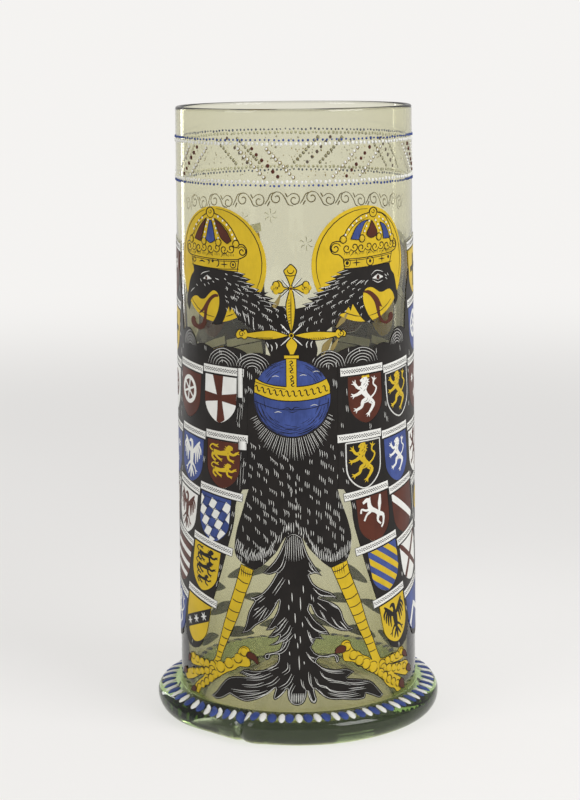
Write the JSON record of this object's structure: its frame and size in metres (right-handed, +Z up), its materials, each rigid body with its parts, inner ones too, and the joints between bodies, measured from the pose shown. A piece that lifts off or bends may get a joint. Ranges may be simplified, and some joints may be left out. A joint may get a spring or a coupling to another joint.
{
  "type": "enamelled glass humpen",
  "caption": "Tall near-cylindrical blown glass beaker on a flared foot ring, enamelled with a crowned double-headed eagle, shield-covered wings and bands of coloured dots.",
  "frame": {"origin": "centre of the flat ring that the foot stands on, at table height", "axes": "+Z up along the vessel's axis, the eagle faces -Y, +X to the viewer's right"},
  "size_m": [0.134, 0.134, 0.285],
  "materials": {
    "pale_glass": "clear pale grey-green forest glass, fire polished",
    "foot_glass": "thick green glass, tooled",
    "black_enamel": "opaque brushed enamel, satin",
    "yellow_enamel": "opaque brushed enamel, satin",
    "blue_enamel": "opaque brushed enamel, satin",
    "red_enamel": "opaque red-brown enamel, satin",
    "white_enamel": "opaque white enamel, satin",
    "green_enamel": "thin green enamel, satin"
  },
  "bodies": {
    "root": {"blown_body": "pale_glass", "foot_ring": "foot_glass", "pontil_mark": "foot_glass", "upper_blue_dots": "blue_enamel", "upper_white_dots": "white_enamel", "lower_blue_dots": "blue_enamel", "lower_white_dots": "white_enamel", "zigzag_pale_dots": "white_enamel", "zigzag_red_dots": "red_enamel", "left_halo": "yellow_enamel", "right_halo": "yellow_enamel", "left_crown": "yellow_enamel", "right_crown": "yellow_enamel", "crown_red_panels": "red_enamel", "crown_blue_panels": "blue_enamel", "left_head": "black_enamel", "right_head": "black_enamel", "tongues": "red_enamel", "cross": "yellow_enamel", "orb": "blue_enamel", "orb_band": "yellow_enamel", "eagle_body": "black_enamel", "tail": "black_enamel", "left_leg": "yellow_enamel", "right_leg": "yellow_enamel", "claws": "red_enamel", "left_wing": "black_enamel", "right_wing": "black_enamel", "red_shields": "red_enamel", "blue_shields": "blue_enamel", "white_shields": "white_enamel", "gold_shields": "yellow_enamel", "black_shields": "black_enamel", "label_strips": "white_enamel", "green_leaves": "green_enamel", "foot_white_dashes": "white_enamel", "foot_blue_dashes": "blue_enamel"}
  },
  "joints": []
}
